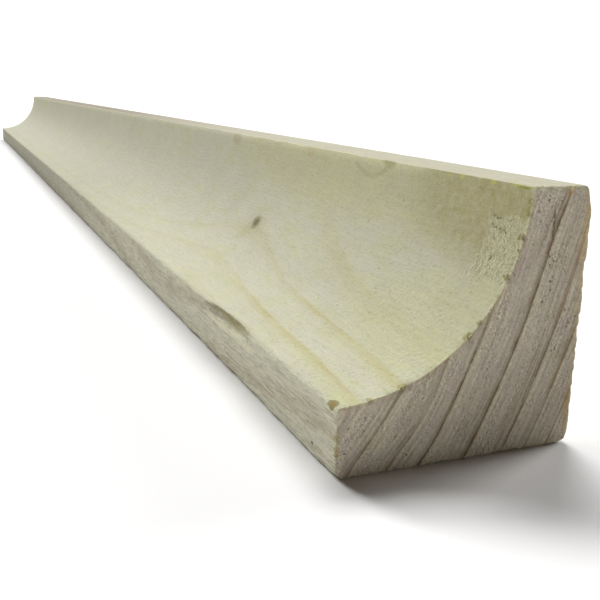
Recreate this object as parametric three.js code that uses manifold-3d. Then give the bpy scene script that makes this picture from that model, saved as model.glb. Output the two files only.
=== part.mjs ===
// Corner moulding: a length of softwood cove moulding lying on its underside.
// Millimetres, +Z up. The length runs along Y with the weathered end at -Y, the low toe faces -X and the
// tall back faces +X. The origin is the centre of the underside.

import * as THREE from 'three';
import { mergeVertices } from 'three/addons/utils/BufferGeometryUtils.js';
import Module from 'manifold-3d';

// Section and length
const WIDTH = 28;
const HEIGHT = 28;
const MARGIN = 7.5; // toe face and top lip, the flats that the hollow leaves
const LENGTH = 515;
const COVE_STEPS = 32;

// Wear and breakage at the near end
const WORN_BACK = { depth: 0.75, slope: 14, run: 42, reach: 5 };
const ROUNDED_CORNER = { depths: [0.42, 0.6, 0.45], slopes: [-18, -45, -70], run: 9, reach: 4 };
const TORN_GROOVE = { start: 25, end: 43, wide: 1.1, deep: 0.75 };
const LOOSE_KNOT = { fromEnd: 1.1, radius: 0.8 };
const END_NICKS = [
  { turn: 4, wide: 0.5, deep: 0.3 },
  { turn: 7, wide: 0.9, deep: 0.35 },
  { turn: 14.3, wide: 0.6, deep: 0.6 },
  { turn: 18, wide: 0.4, deep: 0.25 },
  { turn: 26, wide: 0.6, deep: 0.4 },
  { turn: 41, wide: 0.6, deep: 0.3 },
  { turn: 46, wide: 0.9, deep: 0.45 },
  { turn: 70, wide: 0.9, deep: 0.35 },
  { turn: 80, wide: 0.6, deep: 0.3 },
];

// Colour and finish of the bare wood
const WOOD_COLOUR = 0xcfc9a6;
const WOOD_ROUGHNESS = 0.7;

const TOE_X = -WIDTH / 2;
const BACK_X = WIDTH / 2;
const NEAR_Y = -LENGTH / 2;
const COVE_RADIUS = WIDTH - MARGIN;

const wasm = await Module();
wasm.setup();

// Closed geometry to a solid that can be cut
function solidOf(geometry) {
  geometry.deleteAttribute('normal');
  geometry.deleteAttribute('uv');
  const merged = mergeVertices(geometry);
  const mesh = new wasm.Mesh({
    numProp: 3,
    vertProperties: new Float32Array(merged.attributes.position.array),
    triVerts: new Uint32Array(merged.index.array),
  });
  return new wasm.Manifold(mesh);
}

function geometryOf(solid) {
  const mesh = solid.getMesh();
  const geometry = new THREE.BufferGeometry();
  geometry.setAttribute('position', new THREE.BufferAttribute(new Float32Array(mesh.vertProperties), 3));
  geometry.setIndex(new THREE.BufferAttribute(new Uint32Array(mesh.triVerts), 1));
  geometry.computeVertexNormals();
  return geometry;
}

// Square section with a quarter circle taken out of the corner above the toe
function sectionShape() {
  const shape = new THREE.Shape();
  shape.moveTo(TOE_X, 0);
  shape.lineTo(BACK_X, 0);
  shape.lineTo(BACK_X, HEIGHT);
  shape.lineTo(BACK_X - MARGIN, HEIGHT);
  shape.absarc(TOE_X, HEIGHT, COVE_RADIUS, 0, -Math.PI / 2, true);
  shape.closePath();
  return shape;
}

// The section run along Y and cut square at both ends
function fullLength() {
  const geometry = new THREE.ExtrudeGeometry(sectionShape(), {
    depth: LENGTH,
    steps: 1,
    curveSegments: COVE_STEPS,
    bevelEnabled: false,
  });
  geometry.rotateX(Math.PI / 2);
  geometry.translate(0, LENGTH / 2, 0);
  return solidOf(geometry);
}

// A block that planes off a back arris: deepest at the near end, it runs out to nothing further along.
// The slope is the plane's facing, in degrees above the +X direction.
function arrisTrim(cornerZ, depth, slope, run, reach) {
  const facing = THREE.MathUtils.degToRad(slope);
  const block = new THREE.BoxGeometry(reach, 2 * run, 2 * reach);
  block.translate(reach / 2, 0, 0);
  block.rotateZ(-Math.atan2(depth, run));
  block.rotateY(-facing);
  block.translate(
    BACK_X - depth * Math.cos(facing),
    NEAR_Y,
    cornerZ - depth * Math.sin(facing),
  );
  return solidOf(block);
}

// An egg-shaped bite with its three half sizes
function bite(centre, halfSizes) {
  const egg = new THREE.SphereGeometry(1, 12, 8);
  egg.scale(...halfSizes);
  egg.translate(...centre);
  return solidOf(egg);
}

function tornGroove() {
  const { start, end, wide, deep } = TORN_GROOVE;
  const middle = NEAR_Y + (start + end) / 2;
  return bite([TOE_X, middle, MARGIN - wide / 2], [deep, (end - start) / 2, wide]);
}

function looseKnot() {
  const { fromEnd, radius } = LOOSE_KNOT;
  return bite([TOE_X + radius / 2, NEAR_Y + fromEnd, MARGIN], [radius, radius, radius]);
}

// Splinters missing from the arris between the hollow and the end cut, counted round from the lip
function endNicks() {
  return END_NICKS.map(({ turn, wide, deep }) => {
    const angle = THREE.MathUtils.degToRad(turn);
    const x = TOE_X + COVE_RADIUS * Math.cos(angle);
    const z = HEIGHT - COVE_RADIUS * Math.sin(angle);
    return bite([x, NEAR_Y, z], [wide / 2, deep, wide / 2]);
  });
}

function cornerMoulding() {
  const worn = WORN_BACK;
  const corner = ROUNDED_CORNER;
  const cuts = [
    arrisTrim(HEIGHT, worn.depth, worn.slope, worn.run, worn.reach),
    ...corner.slopes.map((slope, i) => arrisTrim(0, corner.depths[i], slope, corner.run, corner.reach)),
    tornGroove(),
    looseKnot(),
    ...endNicks(),
  ];
  const solid = cuts.reduce((body, cut) => body.subtract(cut), fullLength());
  const bareWood = new THREE.MeshStandardMaterial({
    color: WOOD_COLOUR,
    roughness: WOOD_ROUGHNESS,
    metalness: 0,
  });
  const mesh = new THREE.Mesh(geometryOf(solid), bareWood);
  mesh.name = 'corner_moulding';
  return mesh;
}

const object = new THREE.Group();
object.add(cornerMoulding());

export default object;
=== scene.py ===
"""Corner moulding: a length of bare softwood cove moulding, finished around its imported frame."""

import functools
import math

import bpy
from mathutils import Matrix, Vector


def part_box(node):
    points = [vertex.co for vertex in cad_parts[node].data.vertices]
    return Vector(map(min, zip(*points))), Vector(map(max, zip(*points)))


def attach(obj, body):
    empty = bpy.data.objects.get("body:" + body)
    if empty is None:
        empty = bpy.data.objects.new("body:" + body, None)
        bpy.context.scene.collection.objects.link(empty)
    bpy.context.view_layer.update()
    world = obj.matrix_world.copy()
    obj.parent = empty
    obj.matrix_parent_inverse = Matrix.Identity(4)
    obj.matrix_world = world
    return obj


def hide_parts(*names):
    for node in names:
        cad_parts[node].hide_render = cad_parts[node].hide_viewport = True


bl_info = {
    "name": "Corner Moulding",
    "version": (1, 0, 0),
    "blender": (4, 5, 0),
    "location": "3D View > Sidebar > Moulding",
    "description": "Builds a length of softwood cove moulding with its grain, wear and studio",
    "category": "Object",
}

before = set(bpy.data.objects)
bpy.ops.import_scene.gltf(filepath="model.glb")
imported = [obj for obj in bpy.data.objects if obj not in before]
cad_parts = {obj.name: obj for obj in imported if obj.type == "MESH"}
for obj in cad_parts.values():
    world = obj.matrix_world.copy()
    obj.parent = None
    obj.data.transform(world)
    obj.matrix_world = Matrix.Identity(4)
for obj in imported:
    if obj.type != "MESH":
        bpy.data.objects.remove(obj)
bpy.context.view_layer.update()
NODE = "corner_moulding"
LOW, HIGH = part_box(NODE)
SIZE = HIGH - LOW

MM = 0.001
WOOD_GLOSS = 0.05

# The noise of one seed lies this far from the next in the same field
SEED = 7
SEED_STEP = 19.7

# How dark each ring's edge is on the sawn ends, and how clear its streak is on the planed faces
LINES = (0.4, 0.4, 0.4, 0.4, 0.15, 0.55, 0.5, 0.9, 0.85, 0.6, 0.7, 0.5, 0.6, 0.6, 0.6)
STREAKS = (0.3, 0.3, 0.3, 0.35, 1.0, 0.85, 0.5, 0.15, 0.2, 0.3, 0.3, 0.3, 0.3, 0.3, 0.3)

# Darkness through one year's growth on the ends, the planed faces and the sawn sides, and how crowded the
# torn pits are
LINE_PROFILE = ((0.0, 0.3), (0.05, 0.0), (0.7, 0.09), (0.84, 0.22), (0.92, 0.62), (0.965, 1.0), (1.0, 0.85))
STREAK_PROFILE = ((0.0, 0.45), (0.08, 0.06), (0.45, 0.03), (0.72, 0.22), (0.88, 0.85), (1.0, 1.0))
BAND_PROFILE = ((0.0, 0.25), (0.12, 0.05), (0.5, 0.1), (0.75, 0.7), (0.9, 1.0), (1.0, 0.7))
PIT_PROFILE = ((0.0, 0.3), (0.1, 0.8), (0.5, 1.0), (0.7, 0.5), (0.9, 0.1), (1.0, 0.1))

# The section in millimetres: x across, z up, and s along from the near end. A turn is an angle in
# degrees round the hollow, from 0 at the toe to 90 at the lip. It runs on at the same rate over both flats.
WIDTH = SIZE.x / MM
HEIGHT = SIZE.z / MM
LENGTH = SIZE.y / MM
MARGIN = 7.5
TOE_X = -WIDTH / 2
BACK_X = WIDTH / 2
COVE_RADIUS = WIDTH - MARGIN
MM_PER_DEGREE = math.radians(COVE_RADIUS)

# Rows of torn cells on the sawn ends: from row to row, and from cell to cell, in millimetres
ROW_STEP = 0.42
DOT_STEP = 0.36

# Growth rings, as radii in millimetres from a pith that drifted as the tree grew
PITH = (-119.8, 83.3)
DRIFT = (0.336, -0.370)
RING_EDGES = (
    79.0, 81.5, 84.0, 86.5, 88.95, 91.2, 93.95, 95.9, 99.0, 101.8, 103.6, 105.4, 107.6, 110.0, 112.5,
)

# Soft bulges and dents of the rings: s, x and z, then the reach along, the reach across and the height
LUMPS = (
    (33.0, 6.5, 29.0, 6.0, 3.0, 1.4),
    (0.0, 10.8, 28.0, 25.0, 3.0, -0.45),
    (0.0, -7.5, 6.0, 60.0, 5.5, -0.35),
    (0.0, -5.8, 9.4, 60.0, 2.2, -0.4),
    (0.0, -8.0, 0.5, 30.0, 4.0, 0.4),
    (62.0, -12.0, 6.0, 22.0, 9.0, 1.6),
    (14.0, -10.5, 8.0, 12.0, 5.0, -0.3),
)

# The grain swells outwards round the pin knot, which grows straight out from the pith
KNOT_S = 66.15
KNOT_TURN = 48.6
SWELL_HEIGHT = 5.2
SWELL_REACH = 35.0

# Wear and breakage at the near end, as in the solid
WORN_BACK = {"depth": 0.75, "slope": 14.0, "run": 42.0}
ROUNDED_CORNER = {"depths": (0.42, 0.6, 0.45), "slopes": (-18.0, -45.0, -70.0), "run": 9.0}
TORN_GROOVE = {"start": 25.0, "end": 43.0, "wide": 1.1, "deep": 0.75}
GROOVE_MIDDLE = (TORN_GROOVE["start"] + TORN_GROOVE["end"]) / 2
GROOVE_HALF = (TORN_GROOVE["end"] - TORN_GROOVE["start"]) / 2
LOOSE_KNOT = {"from_end": 1.1, "radius": 0.8}

# The toe's long arrises, worn round: height, middle facing in degrees, radius and noise seed. Each is
# planed at slopes to either side of the middle, on the points within reach of the toe.
SOFT_ARRISES = ((MARGIN, 135.0, 0.55, 46.0), (0.0, 225.0, 0.95, 47.0))
SOFT_SLOPES = (-25.0, 0.0, 25.0)
SOFT_REACH = 3.0

# Nicks in the arris between the hollow and the near end: turn, width and depth
END_NICKS = (
    (86.0, 0.5, 0.3),
    (83.0, 0.9, 0.35),
    (75.7, 0.6, 0.6),
    (72.0, 0.4, 0.25),
    (64.0, 0.6, 0.4),
    (49.0, 0.6, 0.3),
    (44.0, 0.9, 0.45),
    (20.0, 0.9, 0.35),
    (10.0, 0.6, 0.3),
)

# Share of each nick's depth that its splinters leave open
NICK_LEFT = 0.6

# The patch of the hollow where fibres lifted: how far in it reaches, and its turns
TORN_PATCH = {"reach": 6.3, "low": 61.5, "high": 81.0, "deep": 0.05}

# Ochre spots down the arris between the toe and the near end: z and half height
OCHRE_SPOTS = ((4.3, 0.6), (3.2, 0.45), (2.6, 0.35))

# Cracks of the torn patch, painted as dark shade: s, turn, half length and half width in millimetres, and 1
# where it runs across. The flake beside each is its copy, shifted sideways and painted as a highlight.
TORN_CRACKS = (
    (4.1, 79.7, 2.1, 0.05, 0),
    (4.9, 76.8, 1.2, 0.08, 0),
    (3.9, 75.9, 1.0, 0.06, 0),
    (5.0, 71.2, 0.7, 0.07, 1),
    (4.2, 67.8, 0.5, 0.05, 1),
)
FLAKE_HIGHLIGHT_SHIFT = 0.24

# Yellow-green tufts on the first of the lip: s, turn, half length and half width in millimetres
MOSS_TUFTS = (
    (1.9, 89.8, 2.4, 0.45),
    (6.8, 89.4, 0.8, 0.38),
    (12.6, 89.4, 0.6, 0.38),
    (15.4, 89.4, 0.4, 0.38),
)

# The stick is wrapped from a unit box. A point past the first value lies on one of the box's faces, and an
# edge that bends more than the second stays crisp.
OUTERMOST = 0.4999
SHARP_BEND = math.radians(40.0)


def cove_point(turn):
    """A point of the hollow as x and z."""
    angle = math.radians(turn)
    return (TOE_X + COVE_RADIUS * math.sin(angle), HEIGHT - COVE_RADIUS * math.cos(angle))


class Term:
    """A value in a node tree that takes part in sums."""

    def __init__(self, graph, socket):
        self.graph = graph
        self.socket = socket

    def __add__(self, other):
        return self.graph.math("ADD", self, other)

    def __sub__(self, other):
        return self.graph.math("SUBTRACT", self, other)

    def __rsub__(self, other):
        return self.graph.math("SUBTRACT", other, self)

    def __mul__(self, other):
        return self.graph.math("MULTIPLY", self, other)

    def __truediv__(self, other):
        return self.graph.math("DIVIDE", self, other)

    def __rtruediv__(self, other):
        return self.graph.math("DIVIDE", other, self)

    def __pow__(self, other):
        return self.graph.math("POWER", self, other)

    def __neg__(self):
        return self * -1.0

    def __abs__(self):
        return self.graph.math("ABSOLUTE", self)

    __radd__ = __add__
    __rmul__ = __mul__


def total(terms):
    """A sum that starts from the first term, because a starting zero would take a node of its own."""
    first, *rest = terms
    return sum(rest, first)


class Graph:
    """One node tree, geometry or shader, written as formulas."""

    def __init__(self, tree):
        self.tree = tree

    def feed(self, socket, value):
        if isinstance(value, Term):
            value = value.socket
        if isinstance(value, bpy.types.NodeSocket):
            self.tree.links.new(value, socket)
        else:
            socket.default_value = value

    def add(self, kind, inputs=None, **settings):
        node = self.tree.nodes.new(kind)
        for name, value in settings.items():
            setattr(node, name, value)
        for key, value in (inputs or {}).items():
            self.feed(node.inputs[key], value)
        return node

    def term(self, node, output=0):
        return Term(self, node.outputs[output])

    def made(self, kind, inputs=None, output=0, **settings):
        """One output of a new node."""
        return self.term(self.add(kind, inputs, **settings), output)

    def math(self, operation, *values):
        return self.made("ShaderNodeMath", dict(enumerate(values)), operation=operation)

    def vector_math(self, operation, *values, output=0):
        return self.made("ShaderNodeVectorMath", dict(enumerate(values)), output, operation=operation)

    def scale(self, vector, amount):
        return self.made("ShaderNodeVectorMath", {0: vector, "Scale": amount}, operation="SCALE")

    def ramp(self, value, start, end, style="LINEAR"):
        """0 at start and 1 at end. Start may be above end."""
        inputs = {"Value": value, "From Min": start, "From Max": end}
        return self.made("ShaderNodeMapRange", inputs, interpolation_type=style, clamp=True)

    def smooth(self, value, start, end):
        """A ramp with soft ends."""
        return self.ramp(value, start, end, "SMOOTHSTEP")

    def at_least(self, value, limit):
        return self.math("MAXIMUM", value, limit)

    def at_most(self, value, limit):
        return self.math("MINIMUM", value, limit)

    def highest(self, values):
        return functools.reduce(self.at_least, values)

    def vector(self, x, y, z):
        return self.made("ShaderNodeCombineXYZ", {0: x, 1: y, 2: z})

    def parts(self, vector):
        node = self.add("ShaderNodeSeparateXYZ", {0: vector})
        return [self.term(node, i) for i in range(3)]

    def shifted(self, vector, seed):
        """The pattern of another seed, as a step far away in the same field."""
        away = (seed + SEED) * SEED_STEP
        return self.vector_math("ADD", vector, (away, -away, away * 0.5))

    def noise(self, vector, seed, detail=2.0, roughness=0.5):
        """Cloudy noise, mostly between -1 and 1, with clouds about one unit across."""
        place = self.shifted(vector, seed)
        inputs = {"Vector": place, "Scale": 1.0, "Detail": detail, "Roughness": roughness}
        return self.made("ShaderNodeTexNoise", inputs) * 4.0 - 2.0

    def cells(self, vector, seed):
        """Scattered points one unit apart: the distance to the nearest, and a random value for it."""
        node = self.add("ShaderNodeTexVoronoi", {"Vector": self.shifted(vector, seed), "Scale": 1.0})
        return self.term(node, 0), self.parts(self.term(node, 1))[0]

    def mix(self, share, first, second):
        """The second colour over the first."""
        return self.made("ShaderNodeMix", {0: share, 6: first, 7: second}, 2, data_type="RGBA")

    def profile(self, value, points):
        """A value read off straight lines between points, which run from 0 to 1."""
        node = self.add("ShaderNodeFloatCurve", {"Value": value})
        curve = node.mapping.curves[0]
        for point in points[2:]:
            curve.points.new(*point)
        for target, point in zip(curve.points, points):
            target.location = point
            target.handle_type = "VECTOR"
        node.mapping.update()
        return self.term(node)


class Grain:
    """The wood's own pattern at a point, in millimetres. The mesh and every finish share it."""

    def __init__(self, g, place):
        x, y, z = g.parts(place)
        self.g = g
        self.x = x / MM
        self.s = y / MM + LENGTH / 2
        self.z = z / MM
        over_lip = g.at_least(self.x - TOE_X - COVE_RADIUS, 0.0)
        under_toe = g.at_least(HEIGHT - COVE_RADIUS - self.z, 0.0)
        swing = g.math("ARCTAN2", self.x - TOE_X, HEIGHT - self.z) * math.degrees(1.0)
        self.turn = swing + (over_lip - under_toe) / MM_PER_DEGREE
        self.radius = self.ring_radius()
        around = g.math("ARCTAN2", self.z - PITH[1], self.x - PITH[0])
        self.around = around * (RING_EDGES[0] + RING_EDGES[-1]) / 2
        self.season = self.time_of_year()

    def swell(self):
        """How far the rings stand out at this length, counted from the near end."""
        def bulge(s):
            offset = (s - KNOT_S) / SWELL_REACH
            return 1.0 / (offset * offset + 1.0)
        return (bulge(self.s) - bulge(0.0)) * SWELL_HEIGHT

    def wander(self):
        """Slow drift of the rings along the length, slight at the near end."""
        g = self.g
        slow = g.noise(g.vector(self.x / 16.0, self.s / 110.0, self.z / 16.0), 11.0, detail=1.0)
        quick = g.noise(g.vector(self.x / 4.0, self.s / 22.0, self.z / 4.0), 12.0, detail=1.0)
        return slow * (0.03 + 0.75 * g.smooth(self.s, 70.0, 330.0)) + quick * 0.03

    def lump(self, s, x, z, reach_s, reach, height):
        """A soft local change of the rings, such as the bulge over a small buried knot."""
        away = ((self.s - s) / reach_s) ** 2.0 + ((self.x - x) / reach) ** 2.0 + ((self.z - z) / reach) ** 2.0
        return self.g.math("EXPONENT", -away) * height

    def ring_radius(self):
        g = self.g
        px = self.x - PITH[0]
        pz = self.z - PITH[1]
        room = 1.0 - DRIFT[0] ** 2 - DRIFT[1] ** 2
        lean = px * DRIFT[0] + pz * DRIFT[1]
        square = px * px + pz * pz
        radius = (g.math("SQRT", lean * lean + square * room) - lean) / room
        radius = radius - self.swell() + self.wander()
        return sum([self.lump(*lump) for lump in LUMPS], radius)

    def time_of_year(self):
        """0 where a year's growth begins, rising to 1 at the hard edge of its latewood."""
        years = [self.g.ramp(self.radius, inner, outer) for inner, outer in zip(RING_EDGES, RING_EDGES[1:])]
        return self.g.math("FRACT", total(years))

    def by_ring(self, strengths):
        """A value for the edge of each ring, blended in between."""
        inner = RING_EDGES[0]
        span = RING_EDGES[-1] - inner
        points = [((edge - inner) / span, strength) for edge, strength in zip(RING_EDGES, strengths)]
        return self.g.profile((self.radius - inner) / span, points)

    def fibre(self, across, along, seed, detail=2.0, roughness=0.55):
        """Noise drawn out along the fibres, which bend with the rings."""
        place = self.g.vector(self.radius / across, self.around / across, self.s / along)
        return self.g.noise(place, seed, detail, roughness)

    def ringwise(self, outward, around, seed, detail=2.0, aside=(0.0, 0.0, 0.0)):
        """Noise of the sawn ends, with one reach out from the pith and another round the rings."""
        place = self.g.vector(self.radius / outward, self.around / around, self.s / 30.0)
        return self.g.noise(self.g.vector_math("ADD", place, aside), seed, detail, roughness=0.6)

    def crumb(self, size, seed, detail=2.0, roughness=0.55):
        """Noise alike in all directions."""
        place = self.g.vector(self.x / size, self.s / size, self.z / size)
        return self.g.noise(place, seed, detail, roughness)

    def spot(self, centre, half_sizes):
        """1 at the centre of an egg shape, falling to 0 at its rim. Sizes go as x, s, z."""
        places = zip((self.x, self.s, self.z), centre, half_sizes)
        away = total([((value - middle) / half) ** 2.0 for value, middle, half in places])
        return self.g.smooth(away, 1.0, 0.0)

    def cove_spot(self, s, turn, half_s, half_across):
        """A spot on the hollow or right at its arrises."""
        along = ((self.s - s) / half_s) ** 2.0
        across = ((self.turn - turn) * MM_PER_DEGREE / half_across) ** 2.0
        return self.g.smooth(along + across, 1.0, 0.0)

    def knot_distance(self, half_across, half_s):
        """Distance from the pin knot's axis, 1 at its rim."""
        x, z = cove_point(KNOT_TURN)
        run = math.hypot(x - PITH[0], z - PITH[1])
        out_x = (x - PITH[0]) / run
        out_z = (z - PITH[1]) / run
        aside = (self.z - z) * out_x - (self.x - x) * out_z
        along = self.s - KNOT_S - aside * 0.35
        return self.g.math("SQRT", (aside / half_across) ** 2.0 + (along / half_s) ** 2.0)

    def behind_hollow(self):
        """Depth behind the face of the hollow."""
        return self.g.math("SQRT", (self.x - TOE_X) ** 2.0 + (self.z - HEIGHT) ** 2.0) - COVE_RADIUS

    def arris_distance(self):
        """Distance to the second nearest face, which on the surface is the way to the nearest arris."""
        g = self.g
        faces = (
            g.at_most(self.s, LENGTH - self.s),
            abs(self.behind_hollow()),
            HEIGHT - self.z,
            self.x - TOE_X,
            self.z,
            BACK_X - self.x,
        )
        second = g.at_least(faces[0], faces[1])
        nearest = g.at_most(faces[0], faces[1])
        for face in faces[2:]:
            second = g.at_most(second, g.at_least(nearest, face))
            nearest = g.at_most(nearest, face)
        return g.at_least(second, 0.0)

    def end_distance(self):
        """Distance to the nearer end."""
        return self.g.at_least(self.g.at_most(self.s, LENGTH - self.s), 0.0)

    def torn_patch(self):
        """1 on the stretch of the hollow where fibres lifted, with a ragged rim."""
        g = self.g
        ragged = self.crumb(1.1, 51.0, detail=3.0, roughness=0.7) * 0.9
        middle = (TORN_PATCH["low"] + TORN_PATCH["high"]) / 2
        half = (TORN_PATCH["high"] - TORN_PATCH["low"]) / 2 * MM_PER_DEGREE
        across = abs(self.turn - middle) * MM_PER_DEGREE
        inside = g.at_most(TORN_PATCH["reach"] - self.s, half - across) + ragged
        return g.smooth(inside, -0.3, 0.7)

    def cracks(self, shift=0.0):
        """The torn patch's thin broken lines, 1 along their middles, moved sideways by a shift. The planed
        finish paints them as dark shade, and a shifted copy as a highlight.
        """
        g = self.g
        wiggle = self.crumb(0.6, 53.0) * 0.4 + shift
        broken = g.smooth(self.crumb(0.5, 54.0), -0.35, 0.15)
        lines = []
        for s, turn, half_length, half_width, across in TORN_CRACKS:
            along_s = self.s - s
            along_arc = (self.turn - turn) * MM_PER_DEGREE
            run, side = (along_arc, along_s) if across else (along_s, along_arc)
            line = g.smooth(abs(side + wiggle), half_width * 2.0, half_width * 0.5)
            lines.append(line * g.smooth(abs(run), half_length, half_length * 0.7))
        return g.highest(lines) * broken


def settings():
    return bpy.context.scene.moulding


def colour_property(name, description, red, green, blue):
    return bpy.props.FloatVectorProperty(
        name=name, description=description, subtype="COLOR", size=4, min=0.0, max=1.0,
        default=(red, green, blue, 1.0),
    )


class MouldingSettings(bpy.types.PropertyGroup):
    """Sizes and colours of the moulding."""

    section_steps: bpy.props.IntProperty(
        name="Section Steps", description="Faces round the hollow, an even number", default=160, min=8,
    )
    margin_steps: bpy.props.IntProperty(
        name="Margin Steps", description="Faces across the toe and the lip", default=48, min=4,
    )
    length_steps: bpy.props.IntProperty(
        name="Length Steps", description="Faces along the length, closest at the ends", default=168, min=8,
    )
    fibre_length: bpy.props.FloatProperty(
        name="Fibre Length", description="Longest torn fibre at a sawn arris",
        default=0.45 * MM, min=0.01 * MM, unit="LENGTH",
    )
    planed: colour_property("Planed Wood", "Earlywood of the planed hollow and lip", 0.585, 0.58, 0.44)
    planed_late: colour_property("Planed Latewood", "Latewood of the hollow and lip", 0.51, 0.46, 0.235)
    end: colour_property("End Grain", "Earlywood of the sawn ends", 0.66, 0.595, 0.48)
    end_late: colour_property("End Latewood", "Latewood lines of the sawn ends", 0.17, 0.115, 0.06)
    sawn: colour_property("Sawn Wood", "Earlywood of the toe, back and underside", 0.65, 0.637, 0.51)
    sawn_late: colour_property("Sawn Latewood", "Latewood of the toe, back and underside", 0.48, 0.42, 0.315)
    knot: colour_property("Knot", "Heart of the knots", 0.125, 0.105, 0.04)
    fuzz: colour_property("Fuzz", "Torn fibres along the arrises", 0.70, 0.69, 0.46)
    floor: colour_property("Floor", "Studio floor", 0.9, 0.9, 0.9)


def new_material(name):
    """A named material with its graph and its surface shader."""
    material = bpy.data.materials.new(name)
    material.use_nodes = True
    return material, Graph(material.node_tree), material.node_tree.nodes["Principled BSDF"]


def tinted(colour, red, green, blue):
    """A colour made redder, greener or bluer by factors."""
    return (colour[0] * red, colour[1] * green, colour[2] * blue, 1.0)


class Finish:
    """A wood surface whose colour is laid on in layers, starting from its earlywood."""

    def __init__(self, name, early):
        self.material, self.g, self.shader = new_material(name)
        self.grain = Grain(self.g, self.g.made("ShaderNodeTexCoord", output="Object"))
        self.early = tuple(early)
        self.colour = self.early

    def lay(self, share, colour):
        """Covers a share of what is there with a colour."""
        self.colour = self.g.mix(share, self.colour, colour)

    def tint(self, share, red, green, blue):
        """Covers a share with earlywood made redder, greener or bluer by factors."""
        self.lay(share, tinted(self.early, red, green, blue))

    def shade(self, amount):
        """Makes all of it lighter or darker, where 1 changes nothing."""
        self.colour = self.g.scale(self.colour, amount)

    def done(self, roughness, height):
        """The material, with a bump whose height is in millimetres. Bare wood has little gloss."""
        bump = self.g.made("ShaderNodeBump", {"Height": height, "Distance": MM})
        self.shader.inputs["Specular IOR Level"].default_value = WOOD_GLOSS
        self.g.feed(self.shader.inputs["Base Color"], self.colour)
        self.g.feed(self.shader.inputs["Roughness"], roughness)
        self.g.feed(self.shader.inputs["Normal"], bump)
        return self.material


def lay_loose_knot(wood, rough):
    """The knot in the corner of the toe: yellow-green fuzz, a dark olive rim and an ochre heart."""
    g, grain = wood.g, wood.grain
    centre = (TOE_X + 0.05, LOOSE_KNOT["from_end"] + 0.35, MARGIN)
    rim = g.smooth(grain.spot(centre, (1.0, 1.05, 0.95)) + rough * 0.5, 0.15, 0.6)
    heart = g.smooth(grain.spot(centre, (0.6, 0.6, 0.65)) + rough * 0.3, 0.2, 0.8)
    wood.tint(grain.cove_spot(2.2, 4.0, 2.2, 1.5) * 0.35, 1.0, 1.02, 0.66)
    wood.tint(rim * 0.8, 0.40, 0.34, 0.15)
    wood.tint(heart * 0.7, 0.58, 0.43, 0.17)


def lay_ochre_spots(wood, half_x, half_s, share, tint):
    """Ochre spots down the arris between the toe and the near end."""
    for z, half_z in OCHRE_SPOTS:
        wood.tint(wood.grain.spot((TOE_X, 0.0, z), (half_x, half_s, half_z)) * share, *tint)


def lay_streaks(wood, late):
    """Latewood streaks of the hollow, clearest low down near the end, fading further along."""
    g, grain = wood.g, wood.grain
    streak = g.profile(grain.season, STREAK_PROFILE) * grain.by_ring(STREAKS)
    near = g.smooth(grain.s, 85.0, 30.0) * 0.65 + 0.35
    low = g.smooth(grain.turn, 72.0, 38.0) * 0.75 + 0.25
    uneven = grain.fibre(2.5, 16.0, 5.0) * 0.3 + 0.9
    washed = 1.0 - grain.cove_spot(50.0, 27.0, 20.0, 5.0) * 0.7
    wood.lay(streak * near * low * uneven * washed, late)


def lay_under_lip(wood, fuzz, patch):
    """Yellower wood under the lip, olive painted shade near the end, a paler torn patch, and yellow-green
    lower down.
    """
    g, grain = wood.g, wood.grain
    high = grain.cove_spot(45.0, 83.0, 60.0, 8.5)
    olive = grain.cove_spot(2.0, 83.0, 25.0, 9.5) * g.smooth(grain.turn, 91.5, 89.5)
    yellow = g.at_least(grain.cove_spot(2.5, 57.0, 4.5, 2.4), grain.cove_spot(6.0, 40.0, 24.0, 8.5) * 0.8)
    wood.tint(high * 0.6, 0.99, 0.98, 0.76)
    # Painted olive shade under the lip near the end
    wood.tint(olive * (fuzz * 0.3 + 0.75), 0.70, 0.625, 0.40)
    wood.tint(patch * 0.85, 1.17, 1.13, 0.97)
    wood.tint(yellow * 0.6, 0.98, 0.99, 0.74)


def lay_moss_and_groove_shade(wood, felt):
    """Yellow-green fuzz along the first of the lip, a dark slit in it, and the olive painted shade of the
    torn groove.
    """
    g, grain = wood.g, wood.grain
    moss = g.highest([grain.cove_spot(*tuft) for tuft in MOSS_TUFTS])
    slit = grain.cove_spot(1.6, 89.3, 1.5, 0.16)
    groove = grain.cove_spot(TORN_GROOVE["start"] + 6.0, 0.5, 8.5, 1.2)
    wood.tint(g.at_most(moss * (felt * 2.4 + 1.0), 0.85), 0.90, 0.92, 0.40)
    wood.tint(slit * (felt * 1.5 + 0.75), 0.44, 0.44, 0.18)
    # Painted olive shade of the torn groove, where it reaches the hollow
    wood.tint(groove * (felt * 0.6 + 0.4), 0.62, 0.56, 0.38)


def lay_pin_knot(wood, felt, dark):
    """The pin knot: a dark heart in a soft olive halo that trails off."""
    g, grain = wood.g, wood.grain
    trail = grain.cove_spot(KNOT_S + 1.6, KNOT_TURN - 8.0, 2.8, 1.8)
    halo = g.smooth(grain.knot_distance(3.5, 5.2) + felt * 0.2, 1.1, 0.1)
    heart = g.smooth(grain.knot_distance(1.7, 2.1) + felt * 0.15, 1.0, 0.15)
    wood.tint(trail * 0.35, 0.84, 0.80, 0.56)
    wood.tint(halo * 0.45, 0.72, 0.68, 0.50)
    wood.lay(heart * 0.85, dark)


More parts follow.
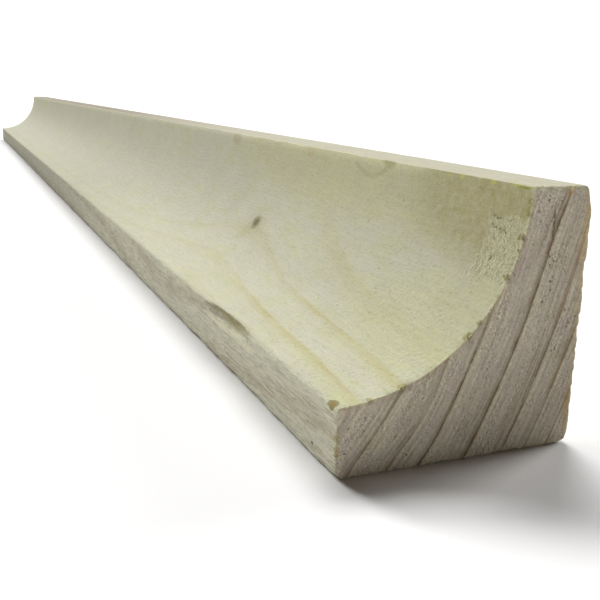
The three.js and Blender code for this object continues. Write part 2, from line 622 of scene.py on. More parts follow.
def lay_lip_marks(wood, felt):
    """The smaller knot on the lip arris, the curved line beside it, and two lesser spots."""
    g, grain = wood.g, wood.grain
    wood.tint(grain.cove_spot(29.5, 90.0, 2.4, 1.3) * 0.7, 0.60, 0.56, 0.34)
    along = grain.s - 34.5
    sweep = abs((grain.turn - 90.0) * MM_PER_DEGREE + 2.4 - (along / 4.2) ** 2.0 * 1.2)
    curve = g.smooth(sweep + felt * 0.1, 0.6, 0.1) * g.smooth(abs(along), 5.5, 4.0)
    wood.tint(curve * 0.35, 0.66, 0.60, 0.42)
    wood.tint(grain.cove_spot(55.0, 88.0, 2.6, 1.2) * 0.35, 0.92, 0.74, 0.52)
    wood.tint(grain.cove_spot(92.0, 87.0, 3.5, 1.6) * 0.4, 0.72, 0.66, 0.48)


def lay_end_nick_shade(wood, felt):
    """Olive painted shade in the nicks of the arris between the hollow and the near end."""
    g, grain = wood.g, wood.grain
    spots = [grain.cove_spot(0.0, turn, deep * 2.2 + 0.3, wide * 0.8) for turn, wide, deep in END_NICKS]
    nicks = g.smooth(g.highest(spots) * (felt * 1.8 + 1.0), 0.15, 0.65)
    wood.tint(nicks * 0.8, 0.58, 0.54, 0.26)


def planed_wood(colours):
    """The hollow and the lip: planed, pale, with faint latewood streaks and short fuzz."""
    wood = Finish("planed_softwood", colours.planed)
    g, grain = wood.g, wood.grain
    late = tuple(colours.planed_late)
    fibres = grain.fibre(0.35, 5.0, 1.0, detail=3.0)
    felt = grain.crumb(0.5, 2.0, detail=3.0, roughness=0.65)
    fuzz = grain.crumb(1.1, 7.0)
    patch = grain.torn_patch()
    lay_streaks(wood, late)

    # Yellow-green and mauve-grey wood alternate along the fibres
    blotch = grain.fibre(1.4, 7.0, 4.0) + fuzz * 0.6
    wood.tint(g.smooth(blotch, 0.0, 0.8) * 0.6, 0.96, 0.98, 0.80)
    wood.tint(g.smooth(blotch, 0.0, -0.8) * 0.4, 1.0, 0.98, 1.05)
    lay_under_lip(wood, fuzz, patch)

    # Bright fuzz where the end was cut
    rim = g.smooth(grain.end_distance() + felt * 0.5, 0.6, 0.0)
    wood.lay(rim * 0.5, tuple(colours.fuzz))
    lay_moss_and_groove_shade(wood, felt)
    lay_pin_knot(wood, felt, tuple(colours.knot))
    lay_lip_marks(wood, felt)

    # Cracks of the torn patch painted as dark shade, each with a pale flake beside it painted as a highlight
    dark = grain.cracks()
    light = grain.cracks(FLAKE_HIGHLIGHT_SHIFT)
    wood.tint(light * 0.5, 1.25, 1.25, 1.15)
    wood.tint(dark * 0.75, 0.38, 0.36, 0.22)
    lay_end_nick_shade(wood, felt)
    lay_loose_knot(wood, felt)

    # The lip is greyer, and its far part has weathered to a pinkish brown
    top = g.smooth(grain.turn + felt * 0.5, 89.6, 91.4)
    wood.tint(top * 0.9, 0.76, 0.735, 0.75)
    wood.tint(top * g.smooth(grain.s, 60.0, 260.0) * 0.85, 0.43, 0.365, 0.37)

    # Short dark flecks of the resin canals
    fleck = g.smooth(grain.fibre(0.13, 1.0, 6.0, detail=0.0), 0.78, 0.95)
    wood.lay(fleck * 0.3, tinted(late, 0.75, 0.72, 0.8))

    # Lighter and darker: finely all over, and darker far off and low down. Painted light midway up the
    # hollow, and a painted highlight at the lip arris
    curl = grain.crumb(0.4, 8.0, detail=3.0, roughness=0.7) * patch
    fine = fibres * 0.05 + felt * 0.09 + grain.crumb(8.0, 3.0) * 0.03 + curl * 0.16
    far = g.smooth(grain.s, 70.0, 190.0) * g.smooth(grain.turn, 60.0, 15.0) * -0.16
    middle = grain.cove_spot(42.0, 60.0, 45.0, 8.0) * 0.08
    lit_edge = g.smooth(grain.turn, 86.0, 90.0) * g.smooth(grain.s, 14.0, 30.0) * (1.0 - top) * 0.2
    wood.shade(fine + far + middle + lit_edge + 1.0)

    height = fibres * 0.014 + felt * 0.022 - dark * 0.08 + light * 0.04 + curl * 0.14
    return wood.done(felt * 0.05 + patch * 0.1 + rim * 0.1 + 0.75, height)


def lay_rings(wood, late, mottle, clouds):
    """A year's growth, from its pale start through mauve-grey to the dark line. Gives back the lines."""
    g, grain = wood.g, wood.grain
    season = grain.season
    uneven = grain.ringwise(4.0, 1.6, 27.0, detail=3.0) * 0.4 + 0.92
    lines = g.profile(season, LINE_PROFILE) * grain.by_ring(LINES) * uneven
    wood.tint(g.smooth(season, 0.25, 0.02) * 0.8, 1.05, 1.05, 0.97)
    wood.tint(g.smooth(clouds, 0.0, 0.8) * 0.5, 0.98, 1.0, 0.9)
    wood.tint(g.smooth(clouds, 0.0, -0.8) * 0.5, 0.99, 0.93, 0.99)
    thin = g.smooth(grain.ringwise(0.32, 8.0, 30.0), 0.0, 0.55)
    wood.tint(thin * (g.smooth(season, 0.35, 0.75) * 0.32 + 0.12), 0.46, 0.39, 0.28)
    wood.lay(lines, late)
    red = g.smooth(season, 0.9, 0.96) * g.smooth(grain.ringwise(3.0, 1.8, 28.0), 0.1, 0.6)
    wood.lay(red * 0.4, tinted(late, 1.3, 0.85, 0.7))

    # A second line beside the one below the lip
    twin = grain.spot((9.3, 0.0, 24.2), (0.22, 30.0, 2.4)) * g.smooth(mottle, -0.6, 0.2)
    wood.lay(twin * 0.8, late)
    return lines


def lay_torn_cells(wood, mottle, rays, specks):
    """Specks with painted light and shade beside them, rows of dots, and torn pits painted as shade with pale
    rims painted as highlights, which crowd in the first half of each year.

    Gives back the height of the pits and rims."""
    g, grain = wood.g, wood.grain
    busy = g.smooth(grain.ringwise(1.2, 3.2, 24.0), -0.5, 0.6) * g.profile(grain.season, PIT_PROFILE)
    lit_side = grain.ringwise(0.2, 0.22, 23.0, detail=1.0, aside=(0.5, 0.45, 0.0))
    wood.tint(g.smooth(specks, 0.1, 0.7) * (busy * 0.24 + 0.10), 0.54, 0.48, 0.43)
    # Painted light and shade: each speck darkens and its copy shifted aside lightens
    wood.shade((lit_side - specks) * (busy * 0.08 + 0.05) + 1.0)
    row = g.math("SINE", grain.radius * (2.0 * math.pi / ROW_STEP) + mottle * 1.6)
    dot = g.math("SINE", grain.around * (2.0 * math.pi / DOT_STEP) + rays * 3.2 + specks * 0.8)
    wood.shade(row * dot * (busy * 0.15 + 0.04) + row * 0.05 + 1.0)

    ragged = g.vector(grain.radius / 0.24 + mottle * 0.4, grain.around / 0.28 + rays * 0.5, grain.s / 9.0)
    gap, chance = g.cells(ragged, 29.0)
    rim_gap, _ = g.cells(g.vector_math("ADD", ragged, (0.45, 0.4, 0.0)), 29.0)
    wanted = g.math("LESS_THAN", chance, busy * 0.11)
    pits = g.smooth(gap, 0.46, 0.15) * wanted
    rims = g.smooth(rim_gap, 0.46, 0.15) * wanted
    # Painted highlights on the pale rims, and painted shade in the pits
    wood.tint(rims * 0.4, 1.4, 1.4, 1.35)
    wood.tint(pits * 0.75, 0.26, 0.22, 0.20)
    return rims * 0.02 - pits * 0.06


def lay_end_stains_and_shade(wood, lines, mottle):
    """Amber at the back, orange where a line meets the lip, painted brown shade under the hollow, painted
    olive shade in the nicks.
    """
    g, grain = wood.g, wood.grain
    upper = g.smooth(grain.z, 14.0, 20.0) * 0.8 + 0.2
    amber = g.smooth(grain.x + mottle * 0.2, 12.8, 13.5) * upper
    pale = g.smooth(grain.x + mottle * 0.15, 13.3, 13.75)
    orange = grain.spot((11.0, 0.0, 27.9), (0.75, 3.0, 1.0))
    corner = grain.spot((13.5, 0.0, 4.2), (0.6, 3.0, 3.6))
    brown = g.smooth(grain.behind_hollow() + mottle * 0.2, 0.9, 0.15) * g.smooth(grain.turn, 88.0, 70.0)
    wood.tint(lines * g.smooth(grain.x, 9.5, 12.5) * 0.6, 0.74, 0.50, 0.26)
    wood.tint(amber * 0.5, 1.05, 0.86, 0.50)
    wood.tint(pale * 0.5, 1.12, 1.06, 0.84)
    wood.tint(orange * (mottle * 0.3 + 0.75), 0.92, 0.66, 0.28)
    wood.tint(corner * 0.5, 0.95, 0.68, 0.34)
    # Painted brown shade on the end just under the hollow's arris
    wood.tint(brown * 0.3, 0.82, 0.68, 0.50)
    # Painted olive shade in the nicks
    for turn, wide, deep in END_NICKS:
        x, z = cove_point(turn)
        nick = grain.spot((x, 0.0, z), (wide * 0.6, deep + 1.0, wide * 0.6))
        wood.tint(nick * (mottle * 0.4 + 0.6), 0.50, 0.45, 0.24)


def end_grain(colours):
    """The sawn ends: greyed earlywood, dark latewood lines, torn pits in rows."""
    wood = Finish("sawn_end_grain", colours.end)
    g, grain = wood.g, wood.grain
    rows = grain.ringwise(0.19, 3.0, 21.0)
    rays = grain.ringwise(0.7, 0.13, 22.0)
    specks = grain.ringwise(0.2, 0.22, 23.0, detail=1.0)
    mottle = grain.crumb(0.45, 25.0)
    clouds = grain.crumb(2.4, 26.0)
    lines = lay_rings(wood, tuple(colours.end_late), mottle, clouds)
    torn = lay_torn_cells(wood, mottle, rays, specks)
    lay_end_stains_and_shade(wood, lines, mottle)
    lay_ochre_spots(wood, 0.45, 1.0, 0.8, (0.75, 0.56, 0.16))

    # A pale torn rim right at every arris, deeper below the lip, and lighter crumbs along the foot
    rim = g.smooth(grain.arris_distance() + mottle * 0.12, 0.2, 0.0)
    torn_top = g.smooth(grain.z + mottle * 0.35 + specks * 0.2, HEIGHT - 0.9, HEIGHT)
    crumbled = g.smooth(grain.z + specks * 0.4, 0.7, 0.1) * g.smooth(mottle, -0.3, 0.4)
    wood.lay(rim * 0.45, tuple(colours.fuzz))
    wood.lay(torn_top * 0.6, tinted(colours.fuzz, 0.95, 0.94, 0.98))
    wood.tint(crumbled * 0.45, 1.25, 1.22, 1.12)

    # Painted light towards the toe and the foot, painted shade towards the back and over the far end
    lit = g.smooth(grain.x, 14.0, -12.0) * 0.16 + g.smooth(grain.z, 4.0, 0.0) * 0.12
    painted_shade = g.smooth(grain.x, 7.0, 13.0) * 0.07 + g.smooth(grain.s, 100.0, 400.0) * 0.28
    wood.shade(rays * 0.06 + rows * 0.18 + mottle * 0.08 + clouds * 0.03 + lit - painted_shade + 0.91)
    return wood.done(0.9, rays * 0.02 + rows * 0.03 + mottle * 0.02 - specks * 0.02 + torn)


def sawn_side(colours):
    """The toe, the back and the underside: rougher, with raised fibres."""
    wood = Finish("sawn_softwood_side", colours.sawn)
    g, grain = wood.g, wood.grain
    fibres = grain.fibre(0.15, 4.5, 31.0, roughness=0.6)
    shreds = grain.fibre(0.2, 2.0, 32.0, roughness=0.65)
    streaks = grain.fibre(0.2, 7.0, 37.0, detail=3.0, roughness=0.6)
    crumbs = grain.crumb(0.4, 33.0)
    clouds = grain.crumb(6.0, 34.0)

    bands = g.profile(grain.season, BAND_PROFILE)
    wood.lay(bands * (grain.fibre(0.9, 12.0, 35.0) * 0.2 + 0.75), tuple(colours.sawn_late))
    wood.tint(g.smooth(clouds, 0.0, 0.8) * 0.4, 0.93, 0.98, 0.86)
    wood.tint(g.smooth(streaks, 0.0, 0.6) * 0.55, 0.64, 0.59, 0.47)
    wood.tint(g.smooth(streaks, 0.0, -0.6) * 0.5, 1.12, 1.13, 1.06)
    split = g.smooth(shreds, 0.25, 0.85)
    wood.tint(split * 0.5, 0.46, 0.42, 0.34)
    lifted = g.smooth(fibres, 0.2, 0.8)
    wood.tint(lifted * 0.4, 1.25, 1.26, 1.16)

    # The cream of the hollow runs over the toe arris
    toe = g.smooth(grain.x, TOE_X + 1.5, TOE_X + 0.8)
    over = g.smooth(MARGIN - grain.z + grain.crumb(3.0, 38.0) * 0.9, 1.7, 0.0) * toe
    wood.lay(over * 0.8, tinted(colours.planed, 1.12, 1.11, 1.1))

    # The torn groove below the toe arris, with olive painted shade in it and a pale lower edge
    groove = grain.spot((TOE_X, GROOVE_MIDDLE, MARGIN - 0.3), (2.4, GROOVE_HALF + 0.5, 1.4))
    lower = grain.spot((TOE_X, GROOVE_MIDDLE - 1.0, MARGIN - 1.9), (1.4, GROOVE_HALF + 4.0, 0.7))
    wood.tint(lower * 0.75, 1.25, 1.25, 1.12)
    wood.tint(groove * (crumbs * 0.4 + 0.95), 0.54, 0.49, 0.28)

    # The loose knot at the corner, ochre spots down the end arris, a pin hole, and the pin knot's far side
    lay_loose_knot(wood, crumbs)
    lay_ochre_spots(wood, 0.6, 0.55, 0.85, (0.66, 0.50, 0.14))
    pit = grain.spot((TOE_X, 5.6, 1.6), (0.5, 0.35, 0.22))
    wood.tint(pit * 0.9, 0.25, 0.22, 0.18)
    core = g.smooth(grain.knot_distance(1.1, 0.8) + crumbs * 0.15, 1.0, 0.4)
    wood.lay(core * 0.85, tuple(colours.knot))

    # Saw marks cross the grain, faint and close, and the far part is darker
    saw = g.noise(g.vector(grain.s / 0.9, grain.z / 30.0, grain.x / 30.0), 36.0, detail=1.0)
    fine = fibres * 0.14 + shreds * 0.10 + crumbs * 0.06 + saw * 0.03 + clouds * 0.03
    wood.shade(fine + g.smooth(grain.s, 60.0, 260.0) * -0.35 + 1.07)

    raised = fibres * 0.05 + crumbs * 0.02 + saw * 0.02 + lifted * 0.03
    sunk = split * 0.06 + streaks * 0.02 + pit * 0.2
    return wood.done(0.85, raised - sunk)


def torn_fibre_wood(colours):
    """Loose fibres, pale and dry."""
    wood = Finish("torn_fibre", colours.fuzz)
    tone = wood.grain.crumb(0.5, 61.0, detail=1.0)
    wood.tint(wood.g.smooth(tone, 0.1, 0.7) * 0.6, 0.7, 0.66, 0.5)
    wood.shade(tone * 0.12 + 1.0)
    return wood.done(0.8, tone * 0.005)


def new_tree(name, sizes):
    """A geometry tree with named inputs, each a name, a socket kind and a default."""
    tree = bpy.data.node_groups.new(name, "GeometryNodeTree")
    face = tree.interface
    face.new_socket("Geometry", in_out="INPUT", socket_type="NodeSocketGeometry")
    for label, kind, default in sizes:
        socket = face.new_socket(label, in_out="INPUT", socket_type="NodeSocket" + kind)
        if default is not None:
            socket.default_value = default
    face.new_socket("Geometry", in_out="OUTPUT", socket_type="NodeSocketGeometry")
    g = Graph(tree)
    start = g.add("NodeGroupInput")
    end = g.add("NodeGroupOutput")
    size = {socket.name: Term(g, socket) for socket in start.outputs if socket.name}
    return tree, g, size, end


def grow(name, base, tree, values):
    """Runs a geometry tree on a base mesh or curve and keeps the result as a plain mesh."""
    seedling = bpy.data.objects.new(name + "_base", base)
    bpy.context.scene.collection.objects.link(seedling)
    modifier = seedling.modifiers.new(name, "NODES")
    modifier.node_group = tree
    for item in tree.interface.items_tree:
        if item.item_type == "SOCKET" and item.in_out == "INPUT" and item.name in values:
            modifier[item.identifier] = values[item.name]
    bpy.context.view_layer.update()
    graph = bpy.context.evaluated_depsgraph_get()
    mesh = bpy.data.meshes.new_from_object(seedling.evaluated_get(graph), depsgraph=graph)
    bpy.data.objects.remove(seedling)
    if not mesh.polygons:
        raise RuntimeError(name + " came out empty")
    mesh.name = name
    piece = bpy.data.objects.new(name, mesh)
    bpy.context.scene.collection.objects.link(piece)
    return piece


def position(g):
    """Where a point of the mesh is, at the node that asks for it."""
    return g.made("GeometryNodeInputPosition")


def moved(g, geometry, offset):
    return g.made("GeometryNodeSetPosition", {"Geometry": geometry, "Offset": offset})


def stick_tree(chosen):
    """A box of faces wrapped onto the section and run along the length, then worn and roughened."""
    tree, g, size, end = new_tree("cove_stick", [
        ("Width", "Float", WIDTH),
        ("Height", "Float", HEIGHT),
        ("Margin", "Float", MARGIN),
        ("Length", "Float", LENGTH),
        ("Section Steps", "Int", chosen.section_steps),
        ("Margin Steps", "Int", chosen.margin_steps),
        ("Length Steps", "Int", chosen.length_steps),
        ("Crowding", "Float", 3.0),
        ("Pinch", "Float", 0.6),
        ("Far Pinch", "Float", 1.5),
        ("Planed", "Material", None),
        ("End Grain", "Material", None),
        ("Sawn", "Material", None),
    ])
    box = g.made("GeometryNodeMeshCube", {
        "Size": (1.0, 1.0, 1.0),
        "Vertices X": size["Section Steps"] + 1.0,
        "Vertices Y": size["Length Steps"] + 1.0,
        "Vertices Z": size["Margin Steps"] + 1.0,
    }, "Mesh")
    place = position(g)
    kept = g.made("GeometryNodeStoreNamedAttribute", {
        "Geometry": box, "Name": "wrap", "Value": place,
    }, data_type="FLOAT_VECTOR", domain="POINT")
    wrapped = g.made("GeometryNodeSetPosition", {
        "Geometry": kept, "Position": wrapped_point(g, size, place),
    })
    smooth = g.made("GeometryNodeSetShadeSmooth", {"Geometry": wrapped, "Shade Smooth": True})

    # Which face of the stick a point or a face of the mesh is on
    wrap = g.made("GeometryNodeInputNamedAttribute", {"Name": "wrap"}, data_type="FLOAT_VECTOR")
    around, along, through = g.parts(wrap)
    at_end = g.math("GREATER_THAN", abs(along), OUTERMOST)
    planed = g.at_least(g.math("GREATER_THAN", through, OUTERMOST), g.math("GREATER_THAN", around, OUTERMOST))

    # Every arris is crisp but the two of the toe, which are worn round
    bend = g.made("GeometryNodeInputMeshEdgeAngle", output="Unsigned Angle")
    toe_arris = g.math("LESS_THAN", around, -OUTERMOST) * g.math("GREATER_THAN", abs(through), OUTERMOST)
    sharp = g.math("GREATER_THAN", bend, SHARP_BEND) * (1.0 - toe_arris * (1.0 - at_end))
    geometry = g.made("GeometryNodeSetShadeSmooth", {
        "Geometry": smooth, "Selection": sharp, "Shade Smooth": False,
    }, domain="EDGE")

    for label, selection in (("Sawn", True), ("Planed", planed), ("End Grain", at_end)):
        geometry = g.made("GeometryNodeSetMaterial", {
            "Geometry": geometry, "Selection": selection, "Material": size[label],
        })

    geometry = worn(g, geometry)
    geometry = softened(g, geometry)
    geometry = bitten(g, geometry)
    geometry = roughened(g, geometry, at_end, planed)
    bare = g.made("GeometryNodeRemoveAttribute", {"Geometry": geometry, "Name": "wrap"})
    g.feed(end.inputs[0], g.made("GeometryNodeRealizeInstances", {"Geometry": bare}))
    return tree


def wrapped_point(g, size, place):
    """A box point's place on the moulding: round the section, through it, and along the length."""
    width, height, length = size["Width"], size["Height"], size["Length"]
    u, w, v = (part + 0.5 for part in g.parts(place))

    # Stations crowd towards both ends
    w = w - g.math("SINE", w * 2.0 * math.pi) * size["Pinch"] / (2.0 * math.pi)
    grown = g.math("EXPONENT", w * size["Crowding"]) - 1.0
    reach = grown / (g.math("EXPONENT", size["Crowding"]) - 1.0)
    s = (1.0 - g.at_least(1.0 - reach, 0.0) ** size["Far Pinch"]) * length

    angle = u * (math.pi / 2)
    radius = width - size["Margin"]
    inner_x = g.math("SINE", angle) * radius
    inner_z = height - g.math("COSINE", angle) * radius
    travel = u * (width + height)
    outer_x = g.at_most(travel, width)
    outer_z = g.at_least(travel - width, 0.0)
    x = outer_x + (inner_x - outer_x) * v - width / 2.0
    z = outer_z + (inner_z - outer_z) * v
    return g.vector(x * MM, (s - length / 2.0) * MM, z * MM)


def shaved(g, geometry, over, facing):
    """Pushes points straight back by how far they stand over a plane that faces an angle in radians."""
    back = g.at_least(over, 0.0) * -MM
    return moved(g, geometry, g.vector(back * math.cos(facing), 0.0, back * math.sin(facing)))


def worn(g, geometry):
    """Planes off the two back arrises at the near end."""
    trims = [(HEIGHT, WORN_BACK["depth"], WORN_BACK["slope"], WORN_BACK["run"])]
    for depth, slope in zip(ROUNDED_CORNER["depths"], ROUNDED_CORNER["slopes"]):
        trims.append((0.0, depth, slope, ROUNDED_CORNER["run"]))
    x, y, z = (part / MM for part in g.parts(position(g)))
    for corner_z, depth, slope, run in trims:
        facing = math.radians(slope)
        left = g.at_least(1.0 - (y + LENGTH / 2) / run, 0.0) * depth
        over = (x - BACK_X) * math.cos(facing) + (z - corner_z) * math.sin(facing) + left
        geometry = shaved(g, geometry, over * g.math("GREATER_THAN", left, 0.0), facing)
    return geometry


def softened(g, geometry):
    """Wears the two long arrises of the toe round, unevenly, by planing each at three slopes."""
    x, y, z = g.parts(g.scale(position(g), 1.0 / MM))
    at_toe = g.math("LESS_THAN", x, TOE_X + SOFT_REACH)
    for corner_z, middle, radius, seed in SOFT_ARRISES:
        uneven = g.noise(g.vector(0.0, y / 7.0, 0.0), seed, detail=3.0, roughness=0.65) * 0.6 + 1.0
        for aside in SOFT_SLOPES:
            facing = math.radians(middle + aside)
            depth = uneven * radius * (math.sqrt(2.0) * math.cos(math.radians(aside)) - 1.0)
            over = (x - TOE_X) * math.cos(facing) + (z - corner_z) * math.sin(facing) + depth
            geometry = shaved(g, geometry, over * at_toe, facing)
    return geometry


def bitten(g, geometry):
    """Cuts the groove, the loose knot's hole and the end nicks, by pushing the surface in."""
    wide = TORN_GROOVE["wide"]
    deep = TORN_GROOVE["deep"]
    radius = LOOSE_KNOT["radius"]
    bites = [
        ((TOE_X, GROOVE_MIDDLE, MARGIN - wide / 2), (deep, GROOVE_HALF, wide), (1.0, 0.0, 0.0)),
        ((TOE_X, LOOSE_KNOT["from_end"], MARGIN), (radius * 0.4, radius, radius * 0.3), (0.7, 0.0, -0.7)),
    ]
    for turn, wide, deep in END_NICKS:
        x, z = cove_point(turn)
        bites.append(((x, 0.0, z), (wide / 2, deep * NICK_LEFT, wide / 2), (0.0, 1.0, 0.0)))
    place = g.scale(position(g), 1.0 / MM)
    ragged = 1.0 + g.noise(g.scale(place, 1.0 / 0.35), 45.0) * 0.3

    # Each bite is an egg shape, and a point inside it moves along the push until it meets the far wall
    for (x, s, z), half_sizes, push in bites:
        apart = g.vector_math("SUBTRACT", place, (x, s - LENGTH / 2, z))
        apart = g.vector_math("DIVIDE", apart, half_sizes)
        step = [part / half for part, half in zip(push, half_sizes)]
        step_square = sum(part * part for part in step)
        along = g.vector_math("DOT_PRODUCT", apart, step, output=1) / step_square
        short = (ragged - g.vector_math("DOT_PRODUCT", apart, apart, output=1)) / step_square
        reach = g.math("SQRT", g.at_least(along * along + short, 0.0)) - along
        inside = g.math("GREATER_THAN", short, 0.0)
        geometry = moved(g, geometry, g.scale(g.vector(*push), reach * inside * MM))
    return geometry


def roughened(g, geometry, at_end, planed):
    """Raises fibres, latewood and torn spots by fractions of a millimetre, and chips the arrises."""
    grain = Grain(g, position(g))
    fibres = grain.fibre(0.9, 8.0, 41.0)
    crumbs = grain.crumb(0.55, 42.0, roughness=0.6)
    late = g.smooth(grain.season, 0.6, 0.95) * g.smooth(grain.season, 1.0, 0.96)

    end_relief = late * 0.05 + crumbs * 0.05
    planed_relief = fibres * 0.01 - grain.torn_patch() * (TORN_PATCH["deep"] + crumbs * 0.035)
    sawn_relief = fibres * 0.05 + crumbs * 0.02
    side_relief = sawn_relief + (planed_relief - sawn_relief) * planed
    relief = side_relief + (end_relief - side_relief) * at_end

    # Arrises are eased a little all along and chipped here and there, most at the ends
    near = g.math("EXPONENT", grain.arris_distance() * -4.5)
    cut = g.smooth(grain.end_distance(), 0.8, 0.1)
    chips = g.at_least(grain.crumb(0.8, 43.0, detail=3.0, roughness=0.65) - 0.1, 0.0)
    long_chips = g.at_least(grain.fibre(1.6, 5.0, 44.0, detail=3.0) - 0.2, 0.0)
    ease = g.at_most(0.05 + chips * (0.07 + cut * 0.3) + long_chips * 0.25, 0.18 + cut * 0.17)
    normal = g.made("GeometryNodeInputNormal")
    geometry = moved(g, geometry, g.scale(normal, (relief - near * ease) * MM))

    # Nothing goes below the floor
    x, y, z = g.parts(position(g))
    above = g.vector(x, y, g.at_least(z, 0.0))
    return g.made("GeometryNodeSetPosition", {"Geometry": geometry, "Position": above})


def fibre_tree():
    """Short tapered fibres scattered along a curve, pointing out of the near end."""
    tree, g, size, end = new_tree("torn_fibres", [
        ("Spacing", "Float", 0.11 * MM),
        ("Length", "Float", 0.9 * MM),
        ("Thickness", "Float", 0.045 * MM),
        ("Seed", "Int", SEED),
        ("Fibre", "Material", None),
    ])
    points = g.made("GeometryNodeCurveToPoints", {
        "Curve": size["Geometry"], "Length": size["Spacing"],
    }, mode="LENGTH")
    tufts = g.noise(g.scale(position(g), 1.0 / (1.3 * MM)), 71.0)
    chance = g.made("FunctionNodeRandomValue", {"Seed": size["Seed"]}, 1, data_type="FLOAT")
    bare = g.math("GREATER_THAN", chance - tufts * 1.2, 0.45)
    kept = g.made("GeometryNodeDeleteGeometry", {"Geometry": points, "Selection": bare}, domain="POINT")

    spine = g.made("GeometryNodeCurveQuadraticBezier", {
        "Resolution": 4, "Start": (0.0, 0.15, 0.0), "Middle": (0.0, -0.45, 0.1), "End": (0.0, -0.8, -0.3),
    })
    factor = g.made("GeometryNodeSplineParameter")
    tapered = g.made("GeometryNodeSetCurveRadius", {"Curve": spine, "Radius": 1.0 - factor * 0.85})
    profile = g.made("GeometryNodeCurvePrimitiveCircle", {
        "Resolution": 4, "Radius": size["Thickness"] / size["Length"],
    })
    fibre = g.made("GeometryNodeCurveToMesh", {
        "Curve": tapered, "Profile Curve": profile, "Fill Caps": True,
    })
    turn = g.made("FunctionNodeRandomValue", {
        0: (-0.9, -0.8, -1.1), 1: (0.5, 0.8, 1.1), "Seed": size["Seed"] + 1.0,
    }, data_type="FLOAT_VECTOR")
    grown = g.made("FunctionNodeRandomValue", {
        2: 0.25, 3: 1.0, "Seed": size["Seed"] + 2.0,
    }, 1, data_type="FLOAT")
    length = grown * size["Length"]
    placed = g.made("GeometryNodeInstanceOnPoints", {
        "Points": kept, "Instance": fibre, "Rotation": g.made("FunctionNodeEulerToRotation", {0: turn}),
        "Scale": g.vector(length, length, length),
    })
    realized = g.made("GeometryNodeRealizeInstances", {"Geometry": placed})
    coloured = g.made("GeometryNodeSetMaterial", {"Geometry": realized, "Material": size["Fibre"]})
    g.feed(end.inputs[0], coloured)
    return tree


def near_arrises():
    """The arrises of the near end as lists of points, in metres."""
    inset = 0.05
    arc_steps = 48
    hollow = [cove_point(90.0 * i / arc_steps) for i in range(arc_steps + 1)]
    runs = (
        hollow,
        [(TOE_X, 1.0), (TOE_X, MARGIN)],
        [(cove_point(90.0)[0], HEIGHT), (BACK_X - 0.8, HEIGHT)],
    )
    near_y = -LENGTH / 2 + inset
    return [[(x * MM, near_y * MM, z * MM) for x, z in run] for run in runs]


def path_curve(name, runs):
    """A curve of straight stretches through lists of points."""
    curve = bpy.data.curves.new(name, "CURVE")
    curve.dimensions = "3D"
    for run in runs:
        spline = curve.splines.new("POLY")
        spline.points.add(len(run) - 1)
        for point, place in zip(spline.points, run):
            point.co = (*place, 1.0)
    return curve


class MOULDING_OT_stick(bpy.types.Operator):
    """Builds the length of moulding in place of its plain solid"""

    bl_idname = "moulding.stick"
    bl_label = "Build Stick"

    def execute(self, context):
        chosen = settings()
        values = {
            "Planed": planed_wood(chosen),
            "End Grain": end_grain(chosen),
            "Sawn": sawn_side(chosen),
        }
        piece = grow("cove_stick", bpy.data.meshes.new("cove_stick_base"), stick_tree(chosen), values)
        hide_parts(NODE)
        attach(piece, "root")
        return {"FINISHED"}


class MOULDING_OT_fibres(bpy.types.Operator):
    """Adds the torn fibres that stand off the near end's arrises"""

    bl_idname = "moulding.fibres"
    bl_label = "Build Torn Fibres"

    def execute(self, context):
        chosen = settings()
        values = {"Length": chosen.fibre_length, "Fibre": torn_fibre_wood(chosen)}
        piece = grow("torn_fibres", path_curve("near_arrises", near_arrises()), fibre_tree(), values)
        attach(piece, "root")
        return {"FINISHED"}


class MOULDING_OT_stage(bpy.types.Operator):
    """Adds the pale floor, the soft lights and the camera"""

    bl_idname = "moulding.stage"
    bl_label = "Build Stage"

    def execute(self, context):
        add_floor(settings())
        add_lights()
        add_camera()
        return {"FINISHED"}


def add_floor(chosen):
    half = 6.0
    mesh = bpy.data.meshes.new("studio_floor")
    corners = [(-half, -half, 0.0), (half, -half, 0.0), (half, half, 0.0), (-half, half, 0.0)]
    mesh.from_pydata(corners, [], [(0, 1, 2, 3)])
    floor = bpy.data.objects.new("studio_floor", mesh)
    bpy.context.scene.collection.objects.link(floor)
    material, _, shader = new_material("studio_floor")
    shader.inputs["Base Color"].default_value = tuple(chosen.floor)
    shader.inputs["Roughness"].default_value = 0.9
    shader.inputs["Specular IOR Level"].default_value = 0.1
    mesh.materials.append(material)


def add_sun(name, azimuth, elevation, strength, spread):
    """A far soft light. Azimuth 0 shines from +Y and 90 from +X."""
    light = bpy.data.lights.new(name, "SUN")
    light.energy = strength
    light.angle = math.radians(spread)
    lamp = bpy.data.objects.new(name, light)
    bpy.context.scene.collection.objects.link(lamp)
    a = math.radians(azimuth)
    e = math.radians(elevation)
    source = Vector((math.sin(a) * math.cos(e), math.cos(a) * math.cos(e), math.sin(e)))
    lamp.rotation_euler = source.to_track_quat("Z", "Y").to_euler()


# Soft lights: azimuth, elevation, strength and spread. Three stand behind the near end, which is in shade,
# and a dim low one fills it.
LIGHTS = (
    ("back_light", -14.0, 27.0, 2.9, 22.0),
    ("side_light", 75.0, 25.0, 2.2, 24.0),
    ("top_light", 22.0, 50.0, 2.5, 30.0),
    ("front_fill", -170.0, 8.0, 0.15, 40.0),
)
AMBIENT = 0.025
AMBIENT_COLOUR = (1.0, 0.72, 0.50, 1.0)


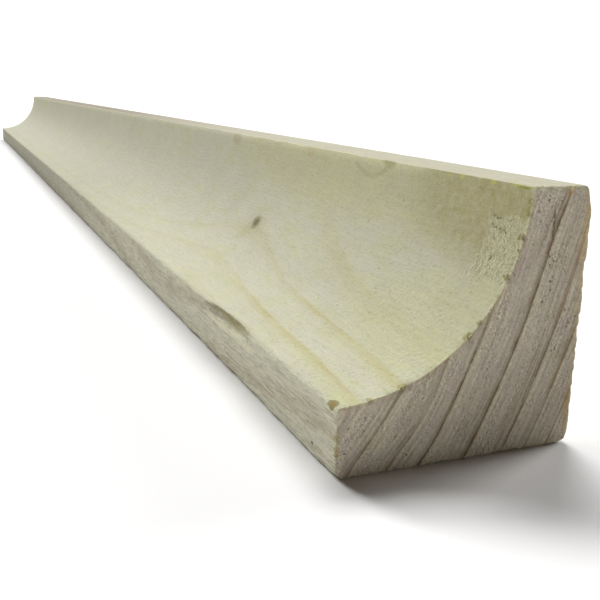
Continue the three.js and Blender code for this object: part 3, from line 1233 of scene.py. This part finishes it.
def add_lights():
    scene = bpy.context.scene
    for name, azimuth, elevation, strength, spread in LIGHTS:
        add_sun(name, azimuth, elevation, strength, spread)
    world = bpy.data.worlds.new("studio")
    world.use_nodes = True
    scene.world = world
    g = Graph(world.node_tree)
    background = world.node_tree.nodes["Background"]
    seen = g.made("ShaderNodeLightPath", output="Is Camera Ray")
    g.feed(background.inputs["Color"], g.mix(seen, AMBIENT_COLOUR, (1.0, 1.0, 1.0, 1.0)))
    g.feed(background.inputs["Strength"], seen + AMBIENT)
    scene.view_settings.view_transform = "Standard"


# The camera, from the photo's perspective: millimetres in the frame, and the lens on a 36 mm sensor
EYE = (-45.97, -323.13, 36.56)
LOOK = (0.37841, 0.89205, -0.24707)
UP = (0.07143, 0.23798, 0.96864)
LENS = 49.34


def add_camera():
    camera = bpy.data.cameras.new("camera")
    camera.sensor_width = 36.0
    camera.lens = LENS
    camera.clip_start = 0.01
    holder = bpy.data.objects.new("camera", camera)
    bpy.context.scene.collection.objects.link(holder)
    back = -Vector(LOOK).normalized()
    right = Vector(UP).cross(back).normalized()
    up = back.cross(right)
    turn = Matrix((right, up, back)).transposed().to_4x4()
    holder.matrix_world = Matrix.Translation(Vector(EYE) * MM) @ turn
    bpy.context.scene.camera = holder


class MOULDING_PT_panel(bpy.types.Panel):
    """Lists the steps that build the moulding"""

    bl_label = "Corner Moulding"
    bl_idname = "MOULDING_PT_panel"
    bl_space_type = "VIEW_3D"
    bl_region_type = "UI"
    bl_category = "Moulding"

    def draw(self, context):
        layout = self.layout
        for operator in OPERATORS:
            layout.operator(operator.bl_idname)
        for name in MouldingSettings.__annotations__:
            layout.prop(context.scene.moulding, name)


OPERATORS = (MOULDING_OT_stick, MOULDING_OT_fibres, MOULDING_OT_stage)
CLASSES = (MouldingSettings, *OPERATORS, MOULDING_PT_panel)


def register():
    for cls in CLASSES:
        bpy.utils.register_class(cls)
    bpy.types.Scene.moulding = bpy.props.PointerProperty(type=MouldingSettings)


def unregister():
    del bpy.types.Scene.moulding
    for cls in reversed(CLASSES):
        bpy.utils.unregister_class(cls)


def main():
    register()
    bpy.ops.moulding.stick()
    bpy.ops.moulding.fibres()
    bpy.ops.moulding.stage()


if __name__ == "__main__":
    main()
